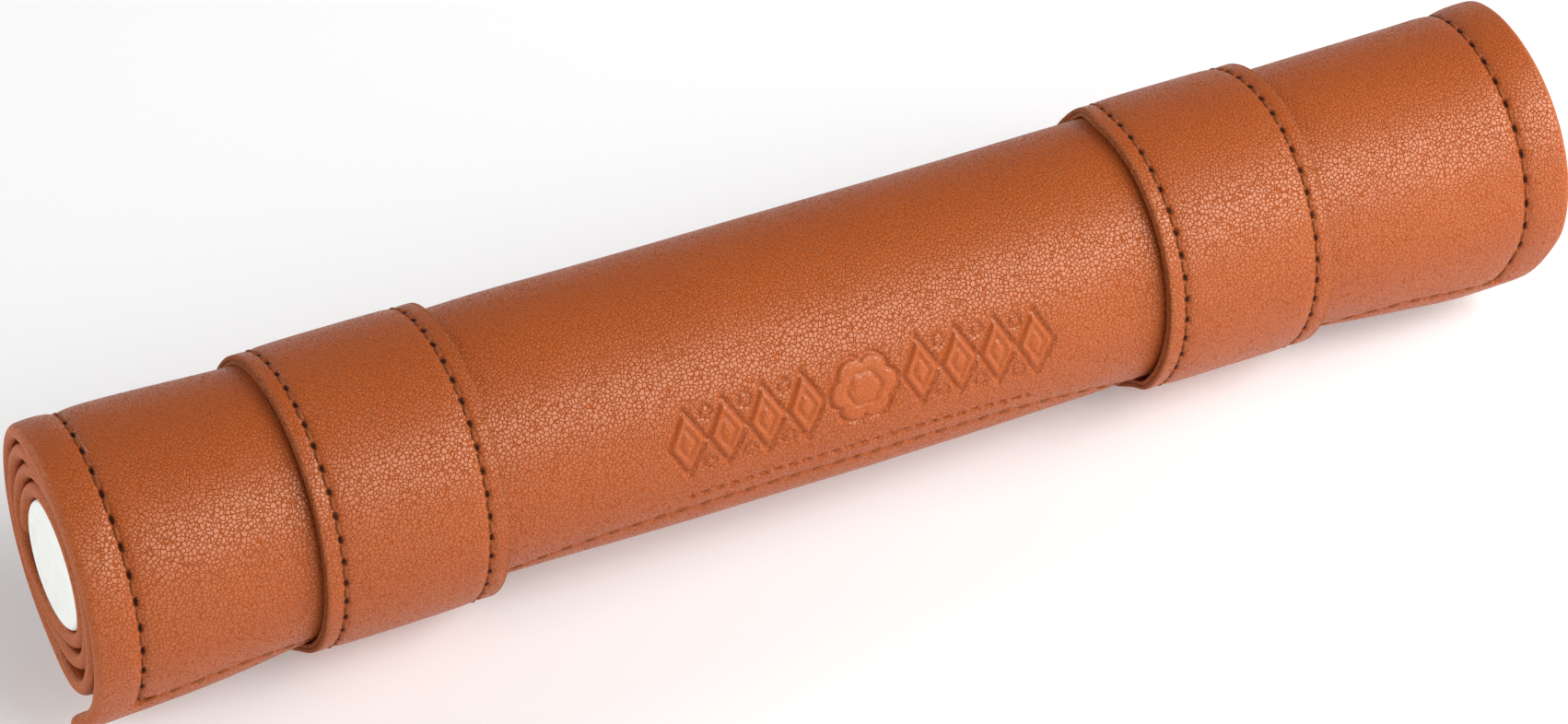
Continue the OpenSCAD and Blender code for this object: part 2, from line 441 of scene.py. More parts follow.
def motif_relief(u, v):
    """Height of the ornament's motifs, and how far the press has smoothed the grain."""
    motifs = [(rosette(u, v, ROSETTE_R), rosette(u, v, ROSETTE_R / 2))]
    for k in range(1, LOZENGES + 1):
        du = np.abs(u) - LOZENGE_START - k * LOZENGE_STEP
        motifs.append((lozenge(du, v, LOZENGE_HALF), lozenge(du, v, LOZENGE_EYE_HALF)))
    height = flat = 0.0
    for outer, inner in motifs:
        height = height + pressed(outer, MOTIF_GROOVE) - EYE_GROOVE * bell(inner / 0.36)
        flat = np.maximum(flat, 1 - rise(outer, 0.1, 0.5))
    for k in range(1, LOZENGES):
        du = np.abs(u) - LOZENGE_START - (k + 0.5) * LOZENGE_STEP
        height = height + pressed(np.hypot(du, np.abs(v) - DOT_RISE) - DOT_R, DOT_GROOVE)
    return height, flat


def ornament_relief(a, x):
    """Height of the blind-pressed ornament, how far the grain is smoothed, and the row of dashes."""
    u = x - ORNAMENT_X
    v = (direction(a) - ORNAMENT_DIRECTION) / FREE_PER_MM
    w = (direction(a) - DASH_DIRECTION) / FREE_PER_MM
    near = (np.abs(u) < ORNAMENT_REACH[0]) & (np.abs(v) < ORNAMENT_REACH[1]) & (a > WINDING - 360)
    height, flat = motif_relief(u, v)
    outside = np.maximum(np.abs(beat_offset(u, DASH_PITCH)) - DASH_HALF[0], np.abs(w) - DASH_HALF[1])
    dashes = np.where(near & (np.abs(u) < DASH_REACH), 1 - rise(outside, -0.25, 0.5), 0)
    return np.where(near, height, 0) - DASH_DEPTH * dashes, np.where(near, flat, 0), dashes


def cover_relief(a, x):
    """Height of the cover's outer face over the plain sheet, and the values its material reads."""
    from_end, from_free, from_inner = edge_distance(a, x)
    fade = 0.9
    end_reach = rise(from_free, SEAM_INSET - fade, fade) * rise(from_inner, SEAM_INSET - fade, fade)
    long_reach = rise(from_end, SEAM_INSET - fade, fade)
    from_last_hole = np.interp(np.clip(a, 0, WINDING), LENGTH_A, LENGTH_MM) - SHEET_LENGTH + SEAM_INSET
    from_corner = HALF - SEAM_INSET - np.abs(x)
    seam = COVER_STITCHING
    end_height, end_hole = seam_relief(seam, from_end - SEAM_INSET, from_last_hole, end_reach)
    free_height, free_hole = seam_relief(seam, from_free - SEAM_INSET, from_corner, long_reach)
    inner_height, inner_hole = seam_relief(seam, from_inner - SEAM_INSET, from_corner, long_reach)
    margin = np.minimum(from_end, np.minimum(from_free, from_inner))
    puff = MARGIN_PUFF * np.sin(math.pi * np.clip(margin / SEAM_INSET, 0, 1))
    tooled, flat, dashes = ornament_relief(a, x)
    height = end_height + LONG_SEAM_SHARE * (free_height + inner_height) + puff + tooled
    long_hole = np.maximum(free_hole, inner_hole)
    # where the material paints shade: needle holes, the long seams' holes more faintly, and the pressed
    # dashes
    hole = np.maximum(end_hole, LONG_HOLE_SHADE * long_hole + DASH_SHADE * dashes)
    return height, {"hole": hole, "pressed": flat, "rim": 1 - rise(margin, 0.2, 1.6)}


def hem_recess(a, x):
    """How far the cover's inner side steps back where the lining lies."""
    from_end, from_free, from_inner = edge_distance(a, x)
    return LINING_T * rise(np.minimum(from_end, np.minimum(from_free, from_inner)), HEM - 0.4, 0.6)


def cover_outline(a, x):
    """Places drawn in to round the cover's corners, and their distances from its outline."""
    _, from_free, from_inner = edge_distance(a, x)
    from_long = np.minimum(from_free, from_inner)
    short = CORNER_R - np.clip(from_long, 0, CORNER_R)
    pull = CORNER_R - np.sqrt(CORNER_R ** 2 - short ** 2)
    x = np.sign(x) * (np.abs(x) - pull * rise(np.abs(x), HALF - 30, 30))
    from_end = HALF - np.abs(x)
    qx, qy = CORNER_R - from_end, CORNER_R - from_long
    in_corner = CORNER_R - np.hypot(np.maximum(qx, 0), np.maximum(qy, 0))
    straight = np.minimum(from_end, from_long)
    return x, np.where((qx > 0) & (qy > 0), np.maximum(in_corner, 0), straight)


def cover_columns():
    """Places along the roll for plain, buried, stitched and tooled rows of the cover."""
    ends = np.array(RIM_LINES + MARGIN_LINES)
    inside = HALF - 17.5
    tooled_zone = (ORNAMENT_X - 42, ORNAMENT_X + 42, TOOLED_STEP)
    plain = mirrored(HALF, ends, steps(-inside, inside, 3.0))
    buried = mirrored(HALF, ends, steps(20 - HALF, HALF - 20, 20.0))
    stitched = mirrored(HALF, ends[ends < 11], steps(11.3 - HALF, HALF - 11.3, 0.5))
    tooled = mirrored(HALF, ends, steps(-inside, inside, 3.0, [tooled_zone]))
    return plain, buried, stitched, tooled


def cover_rows():
    """The cover's rows from the inner edge to the free one: (winding angle, places along the roll)."""
    plain, buried, stitched, tooled = cover_columns()
    inner_rim = np.array(RIM_LINES + [2.0, 3.2, 5.0]) * INNER_PER_MM
    free_rim = np.array(RIM_LINES + [1.9, 2.7, 3.8]) * FREE_PER_MM
    tooled_from = WINDING - EDGE_DIRECTION + ORNAMENT_DIRECTION - 19
    tooled_to = WINDING - EDGE_DIRECTION + DASH_DIRECTION + 3
    free_seam = WINDING - SEAM_INSET * FREE_PER_MM
    inner_seam = SEAM_INSET * INNER_PER_MM
    body = steps(inner_rim[-1] + 2.5, WINDING - free_rim[-1] - 2.0, 4.0, [
        (inner_seam - 5, inner_seam + 5, 2.0),
        (WINDING - 360, WINDING - 10, 0.45 * FREE_PER_MM),
        (tooled_from, tooled_to, TOOLED_STEP * FREE_PER_MM),
        (free_seam - FREE_PER_MM, free_seam + FREE_PER_MM, 0.2 * FREE_PER_MM)])
    rows = []
    for a in np.concatenate([inner_rim, body, (WINDING - free_rim)[::-1]]):
        if abs(a - free_seam) < 1.9 * FREE_PER_MM:
            xs = stitched
        elif tooled_from < a < tooled_to:
            xs = tooled
        elif a > WINDING - 380:
            xs = plain
        else:
            xs = buried
        rows.append((a, xs))
    return rows


def sheet_grid(rows, under_xs):
    """Winding angles, places and sides of a sheet's vertices, and the rows of its outer and inner faces."""
    vertices, outer, inner = [], [], []

    def add_row(a, xs, side):
        first = len(vertices)
        vertices.extend((a, x, side) for x in xs)
        return list(zip(xs, range(first, len(vertices))))

    for a, xs in rows:
        row = add_row(a, xs, 1)
        outer.append(row)
        if a in (rows[0][0], rows[-1][0]):
            inner.append(row)
        else:
            inner.append([row[0]] + add_row(a, under_xs[1:-1], -1) + [row[-1]])
    return np.array(vertices).T, outer, inner


def wound_sheet(name, material, rows, under_xs, low, high, outline, relief, recess):
    """A closed sheet wound between two depths, with a round rim.

    outline gives the places along the roll and their distances from the sheet's outline, relief the outer
    face's height and the values that the material reads, and recess how far the inner face steps back.
    """
    (a, x, side), outer, inner = sheet_grid(rows, under_xs)
    x, distance = outline(a, x)
    height, values = relief(a, x)
    full = high - low
    thick = rim_thickness(distance, full)
    moved = np.where(side > 0, height, recess(a, x)) * (thick / full)
    depth = (low + high) / 2 + side * thick / 2 + moved
    faces = []
    for k in range(len(outer) - 1):
        faces += strip(outer[k], outer[k + 1], False)
        faces += strip(inner[k], inner[k + 1], True)
    piece = new_piece(name, sheet_place(a, x, depth), faces, material)
    for key, value in values.items():
        point_value(piece, key, np.where(side > 0, value, value if key == "rim" else 0))
    return piece


def make_cover(material):
    """The leather outer ply with the padding inside it."""
    ends = np.array(RIM_LINES + [2.2, 5.0, 8.0, 11.2, 11.6, 12.2, 16.0])
    under_xs = mirrored(HALF, ends, steps(30 - HALF, HALF - 30, 24.0))
    return wound_sheet("rolled_cover", material, cover_rows(), under_xs, 0.0, SHEET_T,
                       cover_outline, cover_relief, hem_recess)


def make_lining(material):
    """The inside ply, which lies within the cover's hem."""
    inset = HEM + HEM_GAP
    half = HALF - inset
    start, stop = inset / DEGREE / FIRST_R, WINDING - inset * FREE_PER_MM
    rim = np.array([0.0, 0.1, 0.33, 0.8, 2.0])
    rim_start, rim_stop = 4.0, 2.2
    xs = mirrored(half, rim, steps(5 - half, half - 5, 8.0))
    middle = steps(start + 12, stop - 6, 4.0)
    angles = np.concatenate([start + rim * rim_start, middle, (stop - rim * rim_stop)[::-1]])

    def outline(a, x):
        across = np.minimum((a - start) / rim_start, (stop - a) / rim_stop)
        return x, np.maximum(np.minimum(half - np.abs(x), across), 0)

    return wound_sheet("lining_cloth", material, [(a, xs) for a in angles], xs,
                       LINING_CLEARANCE, LINING_T - 2 * LINING_CLEARANCE, outline,
                       relief=lambda a, x: (0 * x, {}), recess=lambda a, x: 0 * x)


# ---------------------------------------------------------------- the core

def make_core(material):
    """Foam rod with softened rims and slightly dished ends."""
    clearance, dish, soft, around = 0.03, 0.35, 0.9, 72
    radius = (CORE_HIGH[2] - CORE_LOW[2]) / 2 / MM - clearance
    half = (CORE_HIGH[0] - CORE_LOW[0]) / 2 / MM
    end = [(half - dish, radius * k / 8) for k in range(1, 7)]
    for w in range(0, 91, 15):
        end.append((half - soft + soft * cos_deg(w), radius - soft + soft * sin_deg(w)))
    wall = [(x, radius) for x in np.linspace(half - 4, -half + 4, 40)]
    profile = end + wall + [(-x, r) for x, r in reversed(end)]
    points = []
    for x, r in profile:
        for k in range(around):
            turn = 2 * math.pi * k / around
            dent = 0.05 * abs(math.sin(3 * turn + x / 11)) if r > 6 else 0
            points.append((x, (r - dent) * math.cos(turn), (r - dent) * math.sin(turn)))
    faces = ring_faces(len(profile), around)
    last_ring, centre = len(points) - around, len(points)
    points += [(half - dish, 0, 0), (dish - half, 0, 0)]
    for k in range(around):
        n = (k + 1) % around
        faces.append((centre, n, k))
        faces.append((centre + 1, last_ring + k, last_ring + n))
    piece = new_piece("core_rod", points, faces, material)
    face_outward(piece)
    return piece


# ---------------------------------------------------------------- the bands

def band_bore():
    """The inside of a band in the plane across the roll: round the roll, then down to a flat foot."""
    front_a = WINDING + BAND_FRONT_DIRECTION - EDGE_DIRECTION
    hug = np.arange(front_a - HUG_ANGLE, front_a + 0.1, 1.0)
    radius = wound_radius(hug, SHEET_T + BAND_GAP)
    way = direction(hug)
    points = np.stack([radius * cos_deg(way), radius * sin_deg(way)], -1)
    drop = BAND_T - AXIS_HEIGHT
    corners = [[(radius[k] - drop * sin_deg(way[k])) / cos_deg(way[k]), drop] for k in (-1, 0)]
    return np.concatenate([points, corners])


def even_loop(points, count):
    """A closed loop resampled to count evenly spaced points, and its length."""
    closed = np.concatenate([points, points[:1]])
    run = np.concatenate([[0], np.cumsum(np.hypot(*np.diff(closed, axis=0).T))])
    at = np.linspace(0, run[-1], count, endpoint=False)
    return np.stack([np.interp(at, run, closed[:, 0]), np.interp(at, run, closed[:, 1])], -1), run[-1]


def soften_loop(points, width):
    """A closed loop with its corners rounded off."""
    reach = int(3 * width)
    kernel = bell(np.arange(-reach, reach + 1) / width)
    kernel /= kernel.sum()
    wrapped = np.concatenate([points[-reach:], points, points[:reach]])
    return np.stack([np.convolve(wrapped[:, k], kernel, "valid") for k in (0, 1)], -1)


def loop_normals(points):
    """Outward directions of a closed loop round the axis."""
    ahead = np.roll(points, -1, 0) - np.roll(points, 1, 0)
    normal = np.stack([ahead[:, 1], -ahead[:, 0]], -1)
    normal /= np.hypot(*normal.T)[:, None]
    if np.sum(normal * points) < 0:
        normal = -normal
    return normal


BORE_LOOP, BORE_LENGTH = even_loop(band_bore(), BAND_COUNT)
BORE_LOOP = soften_loop(BORE_LOOP, 2.2)
BORE_NORMAL = loop_normals(BORE_LOOP)
BORE_WAY = np.degrees(np.arctan2(BORE_LOOP[:, 1], BORE_LOOP[:, 0])) % 360
BORE_RUN = np.arange(BAND_COUNT) * BORE_LENGTH / BAND_COUNT
BAND_STITCHING = Seam(pitch=BORE_LENGTH / round(BORE_LENGTH / 4.2), dip=0.16, dip_reach=1.8, groove=0.24,
                      groove_reach=0.6, hole=0.38, hole_length=0.85, hole_width=0.50)


def band_offset(band, across):
    """How far a band's bore stands off the plain one at each place round it."""
    sagging = cos_deg(BORE_WAY - SAG_DIRECTION)
    share = across / BAND_HALF
    off = (band.swell + band.sag * sagging) * open_side(BORE_WAY)
    crown = 0.25 * (1 - abs(share) ** 3)
    tilt = (band.tilt_right if across > 0 else band.tilt_left) * share * smooth(sagging)
    waves = 0.03 * np.sin(BORE_RUN / 13 + across / 7)
    above_foot = rise(BORE_LOOP[:, 1] + AXIS_HEIGHT, 3, 6)
    return (off + crown + tilt + waves) * above_foot


def band_ring(band, across, depth):
    """One loop of a band, across from its middle and depth outside its bore."""
    off = band_offset(band, across) + depth
    section = BORE_LOOP + BORE_NORMAL * off[:, None]
    lowest = FOOT_CLEARANCE - AXIS_HEIGHT + BAND_T - min(depth, BAND_T)
    section[:, 1] = np.maximum(section[:, 1], lowest)
    share = across / BAND_HALF
    skew = band.skew * cos_deg(BORE_WAY - 60)
    wander = 0.12 * np.sin(BORE_RUN / 11 + across) * abs(share)
    hidden = 1 - rise(cos_deg(BORE_WAY - 150), -0.15, 0.6)
    pinch = band.pinch * hidden * max(-share, 0)
    return np.column_stack([band.centre + across + skew + wander + pinch, section])


def ply_section(low, high):
    """A ply's outline as (across, depth), with its outer corners bevelled and columns close at the seams."""
    bevel, ease = 0.22, 0.08
    beside_seam = [BAND_SEAM + d for d in (-1.7, -1.1, -0.7, -0.35, 0, 0.35, 0.7, 1.1, 1.7)]
    columns = sorted([-c for c in beside_seam] + beside_seam + list(np.linspace(-11.5, 11.5, 11)))
    left_edge = [(-BAND_HALF + ease, low), (-BAND_HALF, low + ease), (-BAND_HALF, (low + high) / 2),
                 (-BAND_HALF, high - bevel)]
    left_top = [(-BAND_HALF + bevel * 0.3, high - bevel * 0.3), (-BAND_HALF + bevel, high),
                (-BAND_HALF + 0.9, high)]
    outer = left_top + [(c, high) for c in columns] + [(-c, d) for c, d in reversed(left_top)]
    right_edge = [(-c, d) for c, d in reversed(left_edge)]
    inner = [(c, low) for c in np.linspace(BAND_HALF - 3, 3 - BAND_HALF, 9)]
    return outer + right_edge + inner + left_edge


def make_ply(name, material, band, low, high, sewn):
    """One closed ply of a band between two depths; a sewn ply has grooves for its seams."""
    section = ply_section(low, high)
    points, hole, raw = [], [], []
    for across, depth in section:
        ring = band_ring(band, across, depth)
        holes = np.zeros(BAND_COUNT)
        if sewn and depth > (low + high) / 2:
            lift, holes = seam_relief(BAND_STITCHING, abs(across) - BAND_SEAM, BORE_RUN)
            ring[:, 1:] += BORE_NORMAL * lift[:, None]
        points.append(ring)
        hole.append(holes)
        raw.append(np.full(BAND_COUNT, 1.0 if abs(across) > BAND_HALF - 0.3 else 0.0))
    points = np.concatenate(points)
    points[:, 2] = np.maximum(points[:, 2], FOOT_CLEARANCE - AXIS_HEIGHT)
    piece = new_piece(name, points, ring_faces(len(section), BAND_COUNT, closed=True), material)
    # the material darkens the band's needle holes with painted shade
    point_value(piece, "hole", np.concatenate(hole))
    point_value(piece, "raw", np.concatenate(raw))
    face_outward(piece)
    return piece


# ---------------------------------------------------------------- stitches

def stitch_points(start, end, out):
    """Rings of points round one stitch, which arches along out and dives into the leather at its ends."""
    span = end - start
    along = span / np.linalg.norm(span)
    up = out - along * np.dot(out, along)
    up = up / np.linalg.norm(up)
    beside = np.cross(along, up)
    points = []
    for t in np.linspace(0, 1, THREAD_RINGS):
        from_middle = 2 * t - 1
        height = THREAD_ARCH * (1 - from_middle ** 4) - THREAD_DIVE
        centre = start + span * (THREAD_START + THREAD_RUN * t) + up * height
        radius = THREAD_R * (1 - 0.45 * from_middle ** 8)
        for k in range(THREAD_SIDES):
            turn = 2 * math.pi * k / THREAD_SIDES
            twist = 1 + 0.12 * math.cos(2 * (turn - 7 * t))
            round_it = beside * math.cos(turn) * 1.1 + up * math.sin(turn) * 0.8
            points.append(centre + radius * twist * round_it)
    return points


def stitch_row(name, start, end, out, material):
    """A piece of thread from each start to each end."""
    points, faces = [], []
    for ends in zip(start, end, out):
        base = len(points)
        points += stitch_points(*ends)
        faces += ring_faces(THREAD_RINGS, THREAD_SIDES, base)
        faces.append(tuple(range(base + THREAD_SIDES - 1, base - 1, -1)))
        faces.append(tuple(range(len(points) - THREAD_SIDES, len(points))))
    piece = new_piece(name, points, faces, material)
    face_outward(piece)
    return piece


def cover_stitches(name, a, x, valley, material):
    """Stitches between needle holes on the cover's outer face, in a valley so deep."""
    points = sheet_place(a, x, SHEET_T - valley)
    out = sheet_place(a, x, SHEET_T - valley + 1) - points
    return stitch_row(name, points[:-1], points[1:], (out[:-1] + out[1:]) / 2, material)


def end_stitches(name, sign, material):
    """The seam beside the roll's left or right end."""
    pitch = COVER_STITCHING.pitch
    last = SHEET_LENGTH - SEAM_INSET
    runs = last - pitch * np.arange(int((last - SEAM_INSET) / pitch) + 1)
    angles = np.interp(runs, LENGTH_MM, LENGTH_A)
    xs = np.full(len(angles), sign * (HALF - SEAM_INSET))
    return cover_stitches(name, angles, xs, END_VALLEY, material)


def long_stitches(name, a, material):
    """The seam beside a long edge, spaced from both ends of the roll."""
    pitch = COVER_STITCHING.pitch
    reach = HALF - SEAM_INSET
    from_middle = reach - pitch * np.arange(int(2 * reach / pitch) // 2 + 1)
    xs = np.concatenate([-from_middle, from_middle[::-1]])
    return cover_stitches(name, np.full(len(xs), a), xs, LONG_VALLEY, material)


def band_stitches(name, band, across, material):
    """One seam round a band, left out where the band lies on its foot."""
    runs = np.arange(0, BORE_LENGTH - 0.1, BAND_STITCHING.pitch)
    closed = np.append(BORE_RUN, BORE_LENGTH)

    def at_holes(depth):
        ring = band_ring(band, across, depth)
        ring = np.concatenate([ring, ring[:1]])
        return np.stack([np.interp(runs, closed, ring[:, k]) for k in range(3)], -1)

    points = at_holes(BAND_T - BAND_VALLEY)
    out = at_holes(BAND_T - BAND_VALLEY + 1) - points
    above_foot = points[:, 2] > FOOT_SEAM_HEIGHT - AXIS_HEIGHT
    sewn = above_foot & np.roll(above_foot, -1)
    ends, out = np.roll(points, -1, 0), out + np.roll(out, -1, 0)
    return stitch_row(name, points[sewn], ends[sewn], out[sewn], material)


# ---------------------------------------------------------------- materials

def colour(red, green, blue):
    """Linear colour from display values of 0 to 255."""
    linear = [v / 3295 if v <= 10 else ((v / 255 + 0.055) / 1.055) ** 2.4 for v in (red, green, blue)]
    return (*linear, 1)


def grey(value):
    """A grey as a linear colour."""
    return (value, value, value, 1)


class Shader:
    """A node tree, with short ways of making its nodes and joining them."""

    def __init__(self, owner):
        self.owner = owner
        owner.use_nodes = True
        self.nodes = owner.node_tree.nodes
        self.links = owner.node_tree.links

    def feed(self, socket, value):
        """Links another node's output to a socket, or sets the socket to a plain value."""
        if isinstance(value, bpy.types.NodeSocket):
            self.links.new(value, socket)
        else:
            socket.default_value = value

    def surface(self, **values):
        """Feeds sockets of the surface's shader, named with _ for a space."""
        for name, value in values.items():
            self.feed(self.nodes["Principled BSDF"].inputs[name.replace("_", " ")], value)

    def place(self):
        """Places in the piece's own space, in metres."""
        return self.nodes.new("ShaderNodeTexCoord").outputs["Object"]

    def texture(self, kind, place, output, **values):
        """An output of a texture laid out by place; its values are properties or inputs of the node."""
        made = self.nodes.new("ShaderNodeTex" + kind)
        for key, value in values.items():
            if hasattr(made, key):
                setattr(made, key, value)
            else:
                made.inputs[key].default_value = value
        self.links.new(place, made.inputs["Vector"])
        return made.outputs[output]

    def noise(self, place, scale, detail, roughness=0.5, output="Fac"):
        """Cloudy noise, with about as many clouds to a metre as its scale."""
        return self.texture("Noise", place, output, Scale=scale, Detail=detail, Roughness=roughness)

    def attribute(self, name):
        """A piece's point_value of that name, or 0 where it has none."""
        made = self.nodes.new("ShaderNodeAttribute")
        made.attribute_name = name
        return made.outputs["Fac"]

    def ramp(self, source, stops):
        """A value turned into colours or greys, by (place, colour or grey) stops."""
        made = self.nodes.new("ShaderNodeValToRGB")
        elements = made.color_ramp.elements
        while len(elements) < len(stops):
            elements.new(0.5)
        for element, (place, value) in zip(elements, stops):
            element.position = place
            element.color = value if hasattr(value, "__len__") else grey(value)
        self.links.new(source, made.inputs["Fac"])
        return made.outputs["Color"]

    def maths(self, operation, first, second):
        """The outcome of one of Blender's Math operations on two values."""
        made = self.nodes.new("ShaderNodeMath")
        made.operation = operation
        self.feed(made.inputs[0], first)
        self.feed(made.inputs[1], second)
        return made.outputs["Value"]

    def times(self, first, second):
        """The product of two values."""
        return self.maths("MULTIPLY", first, second)

    def less(self, value, share):
        """1 less a share of a value."""
        return self.maths("SUBTRACT", 1.0, self.times(value, share))

    def mix(self, share, first, second):
        """The first colour, with a share of the second."""
        made = self.nodes.new("ShaderNodeMix")
        made.data_type = "RGBA"
        for socket, value in zip((made.inputs[0], made.inputs[6], made.inputs[7]), (share, first, second)):
            self.feed(socket, value)
        return made.outputs[2]

    def bump(self, height, distance, strength):
        """Gives the surface a relief that is distance metres high."""
        made = self.nodes.new("ShaderNodeBump")
        made.inputs["Distance"].default_value = distance
        self.feed(made.inputs["Strength"], strength)
        self.links.new(height, made.inputs["Height"])
        self.surface(Normal=made.outputs["Normal"])


def new_shader(name):
    """A new material's Shader."""
    return Shader(bpy.data.materials.new(name))


# Width of the leather's pebbles in mm, how far they are bent and how high they stand in m, and its colours,
# painted shade among them
GRAIN, BACKING_GRAIN = 0.78, 1.3
GRAIN_BEND, GRAIN_HEIGHT = 0.00035, 0.00021
LEATHER_DARK = colour(161, 73, 22)
LEATHER_MAIN = colour(171, 80, 27)
LEATHER_PALE = colour(176, 88, 38)
CREASE_SHADE = colour(104, 42, 14)
HOLE_SHADE = colour(58, 22, 9)
FIBRE_DARK = colour(122, 56, 19)
FIBRE_PALE = colour(176, 92, 40)


def pebble_grain(shader, place, grain_mm):
    """1 on the leather's pebbles, falling to 0 in the creases between them."""
    warp = shader.noise(place, 900.0, 2.0, output="Color")
    bent = shader.nodes.new("ShaderNodeVectorMath")
    bent.operation = "MULTIPLY_ADD"
    for socket, value in zip(bent.inputs, (warp, (GRAIN_BEND, GRAIN_BEND, GRAIN_BEND), place)):
        shader.feed(socket, value)
    cells = shader.texture("Voronoi", bent.outputs["Vector"], "Distance", feature="DISTANCE_TO_EDGE",
                           Scale=1 / (grain_mm * MM))
    return shader.ramp(cells, [(0.0, 0.0), (0.06, 0.7), (0.13, 0.96), (0.2, 1.0)])


def leather_tone(shader, place, crease, rim, hole):
    """Brown in soft patches, with painted shade in creases, needle holes and pressed dashes, paler on turned
    edges.
    """
    broad = shader.noise(place, 38.0, 4.0, 0.55)
    tone = shader.ramp(broad, [(0.30, LEATHER_DARK), (0.72, LEATHER_MAIN)])
    tone = shader.mix(0.5, tone, LEATHER_MAIN)
    # painted shade: the creases between the pebbles are darkened
    tone = shader.mix(shader.times(crease, 0.19), tone, CREASE_SHADE)
    tone = shader.mix(shader.times(rim, 0.55), tone, LEATHER_PALE)
    # painted shade in the needle holes and the pressed dashes
    return shader.mix(shader.ramp(hole, [(0.18, 0.0), (0.62, 1.0)]), tone, HOLE_SHADE)


def leather_roughness(shader, patch, crease, rim, hole):
    """Satin pebbles, with dull creases, edges and needle holes."""
    rough = shader.ramp(patch, [(0.3, 0.35), (0.7, 0.40)])
    rough = shader.mix(crease, rough, grey(0.75))
    rough = shader.mix(shader.times(rim, 0.6), rough, grey(0.66))
    return shader.mix(hole, rough, grey(0.95))


def leather_bump(shader, place, pebble, patch, rim, flat):
    """Grain height, weaker where the ornament's press has flattened it and on turned edges."""
    fine = shader.noise(place, 2600.0, 4.0, 0.6)
    height = shader.maths("ADD", shader.times(pebble, 0.8), shader.times(fine, 0.12))
    height = shader.maths("ADD", height, shader.times(patch, 0.2))
    strength = shader.times(shader.less(flat, 0.88), shader.less(rim, 0.5))
    shader.bump(height, GRAIN_HEIGHT, shader.times(strength, 0.8))


def leather(name, grain_mm, cut=False):
    """Pebble-grained leather: cells parted by fine creases, with a soft broad sheen."""
    shader = new_shader(name)
    place = shader.place()
    hole, flat, rim = (shader.attribute(key) for key in ("hole", "pressed", "rim"))
    pebble = pebble_grain(shader, place, grain_mm)
    crease = shader.maths("SUBTRACT", 1.0, pebble)
    patch = shader.noise(place, 160.0, 3.0)
    tone = leather_tone(shader, place, crease, rim, hole)
    rough = leather_roughness(shader, patch, crease, rim, hole)
    if cut:
        raw = shader.attribute("raw")
        fibre = shader.noise(place, 1500.0, 5.0, 0.7)
        tone = shader.mix(raw, tone, shader.ramp(fibre, [(0.3, FIBRE_DARK), (0.75, FIBRE_PALE)]))
        rough = shader.mix(raw, rough, grey(0.85))
    shine = shader.mix(hole, shader.ramp(pebble, [(0.4, 0.2), (0.95, 0.64)]), grey(0.08))
    shader.surface(Base_Color=tone, Roughness=rough, Specular_IOR_Level=shine,
                   Specular_Tint=(1.0, 0.95, 0.78, 1.0))
    leather_bump(shader, place, pebble, patch, rim, flat)
    return shader.owner


def thread(name):
    """Twisted polyester thread, a little darker than the leather."""
    shader = new_shader(name)
    fibre = shader.noise(shader.place(), 2400.0, 4.0, 0.65)
    shader.surface(Base_Color=shader.ramp(fibre, [(0.3, colour(112, 55, 23)), (0.75, colour(158, 86, 42))]),
                   Roughness=shader.ramp(fibre, [(0.3, 0.55), (0.7, 0.72)]),
                   Specular_IOR_Level=0.2)
    shader.bump(fibre, 0.0001, 0.6)
    return shader.owner


def cloth(name, dark, pale):
    """Short-napped microfibre cloth."""
    shader = new_shader(name)
    place = shader.place()
    nap = shader.noise(place, 3200.0, 5.0, 0.7)
    broad = shader.noise(place, 60.0, 3.0)
    blend = shader.maths("ADD", shader.times(nap, 0.7), shader.times(broad, 0.3))
    shader.surface(Base_Color=shader.ramp(blend, [(0.3, dark), (0.7, pale)]),
                   Roughness=shader.ramp(nap, [(0.3, 0.8), (0.7, 0.95)]),
                   Sheen_Weight=0.35)
    shader.bump(nap, 0.00015, 0.7)
    return shader.owner


def foam(name):
    """Fine closed-cell foam, off-white."""
    shader = new_shader(name)
    place = shader.place()
    cells = shader.texture("Voronoi", place, "Distance", Scale=1500.0)
    grain = shader.noise(place, 420.0, 5.0, 0.6)
    white = [(0.3, colour(237, 240, 235)), (0.7, colour(245, 247, 243))]
    shader.surface(Base_Color=shader.ramp(grain, white),
                   Roughness=shader.ramp(grain, [(0.3, 0.75), (0.7, 0.9)]),
                   Subsurface_Weight=0.1, Subsurface_Radius=(0.001, 0.001, 0.001))
    shader.bump(cells, 0.0001, 0.5)
    return shader.owner


# ---------------------------------------------------------------- stage, light and camera, in metres

CAMERA_AZIMUTH, CAMERA_ELEVATION = -27.02, 37.085
CAMERA_DISTANCE = 1.05317
CAMERA_TARGET = Vector((-0.00327, 0.0, -0.00456))
CAMERA_LENS = 131.0

# Name, place, size and watts of each light; all point at the roll's axis
LIGHTS = (
    ("key", (0.46, -0.77, 0.61), (0.95, 0.75), 12),
    ("side", (0.75, -0.30, 0.52), (0.5, 0.5), 4.5),
    ("back", (-1.2, 1.2, 1.1), (1.4, 1.0), 17),
    ("end_fill", (-1.4, -0.10, 0.22), (0.7, 0.5), 3),
)
FLOOR_HALF, FLOOR_DROP = 4.0, 0.0001


def make_camera():
    """A camera at the photograph's viewing angle."""
    level = cos_deg(CAMERA_ELEVATION)
    back = Vector((sin_deg(CAMERA_AZIMUTH) * level, -cos_deg(CAMERA_AZIMUTH) * level,
                   sin_deg(CAMERA_ELEVATION)))
    camera = bpy.data.objects.new("camera", bpy.data.cameras.new("camera"))
    camera.data.lens = CAMERA_LENS
    camera.data.sensor_width = 36.0
    camera.data.clip_start = 0.05
    camera.location = AXIS + CAMERA_TARGET + back * CAMERA_DISTANCE
    camera.rotation_euler = back.to_track_quat("Z", "Y").to_euler()
    bpy.context.scene.collection.objects.link(camera)
    bpy.context.scene.camera = camera


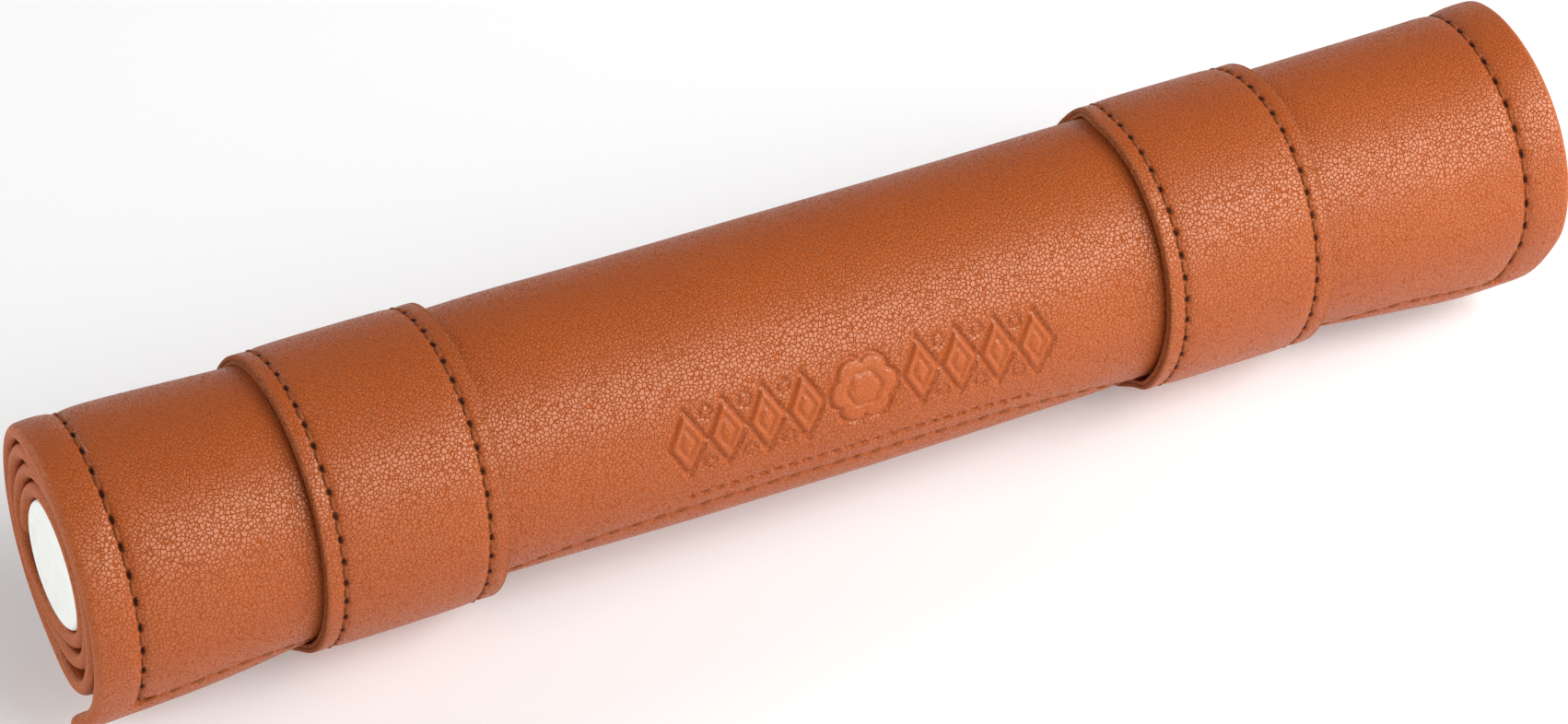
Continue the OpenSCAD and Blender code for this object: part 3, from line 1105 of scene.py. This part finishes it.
def make_world():
    """A pale horizon under a dim sky, shown without filmic toning."""
    scene = bpy.context.scene
    scene.view_settings.view_transform = "Standard"
    scene.world = bpy.data.worlds.new("world")
    sky = Shader(scene.world)
    parts = sky.nodes.new("ShaderNodeSeparateXYZ")
    sky.links.new(sky.nodes.new("ShaderNodeTexCoord").outputs["Generated"], parts.inputs[0])
    background = sky.nodes["Background"].inputs
    tones = sky.ramp(parts.outputs["Z"], [(0.0, 0.85), (0.2, 0.55), (0.4, 0.14), (1.0, 0.08)])
    sky.feed(background["Color"], tones)
    sky.feed(background["Strength"], 1.0)


def make_floor():
    """A plain pale floor."""
    mesh = bpy.data.meshes.new("floor")
    far = FLOOR_HALF
    corners = [(x, y, -FLOOR_DROP) for x, y in ((-far, -far), (far, -far), (far, far), (-far, far))]
    mesh.from_pydata(corners, [], [(0, 1, 2, 3)])
    floor = bpy.data.objects.new("floor", mesh)
    bpy.context.scene.collection.objects.link(floor)
    paper = new_shader("floor_paper")
    paper.surface(Base_Color=grey(0.92), Roughness=0.9, Emission_Color=grey(1), Emission_Strength=0.12)
    mesh.materials.append(paper.owner)


def make_lights():
    """Soft studio lights."""
    for name, place, size, watts in LIGHTS:
        data = bpy.data.lights.new(name, "AREA")
        data.shape = "RECTANGLE"
        data.size, data.size_y = size
        data.energy = watts
        lamp = bpy.data.objects.new(name, data)
        lamp.location = place
        lamp.rotation_euler = (Vector(place) - AXIS).to_track_quat("Z", "Y").to_euler()
        bpy.context.scene.collection.objects.link(lamp)


# ---------------------------------------------------------------- the whole object

make_camera()
make_world()
make_floor()
make_lights()

cover_leather = leather("cover_leather", GRAIN)
band_leather = leather("band_leather", GRAIN, cut=True)
backing_leather = leather("band_backing", BACKING_GRAIN, cut=True)
seam_thread = thread("seam_thread")

cover = make_cover(cover_leather)
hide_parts("outer_cover", "padding")
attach(cover, "rolled_sheet")
lining = make_lining(cloth("lining_cloth", colour(120, 62, 36), colour(150, 84, 52)))
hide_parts("lining")
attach(lining, "rolled_sheet")
core = make_core(foam("core_foam"))
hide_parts("foam_core")
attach(core, "core")

for side, sign in (("left", -1), ("right", 1)):
    stitches = end_stitches(side + "_end_threads", sign, seam_thread)
    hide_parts(side + "_end_stitching")
    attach(stitches, "rolled_sheet")
for edge, seam_a in (("free", WINDING - SEAM_INSET * FREE_PER_MM), ("inner", SEAM_INSET * INNER_PER_MM)):
    stitches = long_stitches(edge + "_edge_threads", seam_a, seam_thread)
    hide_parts(edge + "_edge_stitching")
    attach(stitches, "rolled_sheet")

for side, sign in (("left", -1), ("right", 1)):
    face = make_ply(side + "_band_skin", band_leather, BANDS[side],
                    BACKING_T + PLY_CLEARANCE, BAND_T, sewn=True)
    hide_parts(side + "_band_face")
    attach(face, side + "_band")
    backing = make_ply(side + "_band_back", backing_leather, BANDS[side],
                       0.0, BACKING_T - PLY_CLEARANCE, sewn=False)
    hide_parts(side + "_band_backing")
    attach(backing, side + "_band")
    for row, across in (("outer", sign * BAND_SEAM), ("inner", -sign * BAND_SEAM)):
        stitches = band_stitches(side + "_band_" + row + "_threads", BANDS[side], across, seam_thread)
        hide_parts(side + "_band_" + row + "_seam")
        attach(stitches, side + "_band")
